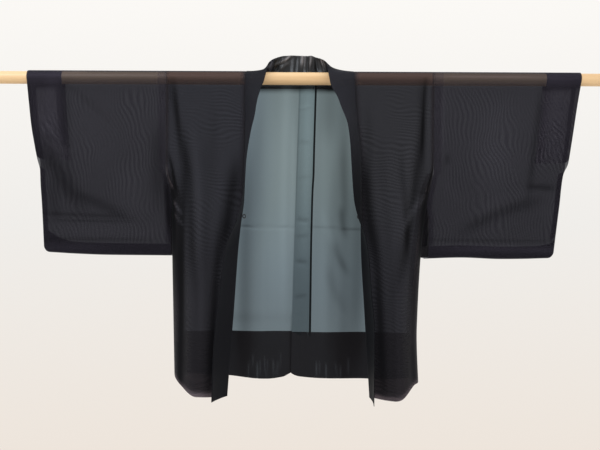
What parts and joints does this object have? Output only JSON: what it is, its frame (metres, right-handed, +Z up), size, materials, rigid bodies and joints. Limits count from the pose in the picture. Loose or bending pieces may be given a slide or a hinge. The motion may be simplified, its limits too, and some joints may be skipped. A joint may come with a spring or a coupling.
{
  "type": "haori jacket on a rod",
  "caption": "Open-fronted unlined summer haori of sheer gauze with wide sleeves, turned-out collar band and side gussets, hung flat on a round wooden rod.",
  "frame": {"origin": "on the rod's axis, at the garment's middle", "axes": "+X along the rod to the viewer's right, -Y to the garment's open front, +Z up"},
  "size_m": [1.5, 0.1769, 0.8066],
  "materials": {
    "pale_wood": "pale straight-grained wood, sanded, thin clear coat",
    "gauze": "black sheer silk gauze, single length",
    "gauze_turned": "black sheer silk gauze, turned in and doubled",
    "gauze_collar": "black silk gauze, folded into a band"
  },
  "bodies": {
    "root": {"rod": "pale_wood", "body_left": "gauze", "body_right": "gauze", "sleeve_left": "gauze", "sleeve_right": "gauze", "gusset_left": "gauze", "gusset_right": "gauze", "collar": "gauze_collar", "loop_left": "gauze_collar", "loop_right": "gauze_collar", "hem_back_left": "gauze_turned", "hem_back_right": "gauze_turned", "hem_front_left": "gauze_turned", "hem_front_right": "gauze_turned", "cuff_left": "gauze_turned", "cuff_right": "gauze_turned", "seam_back": "gauze_turned"}
  },
  "joints": []
}
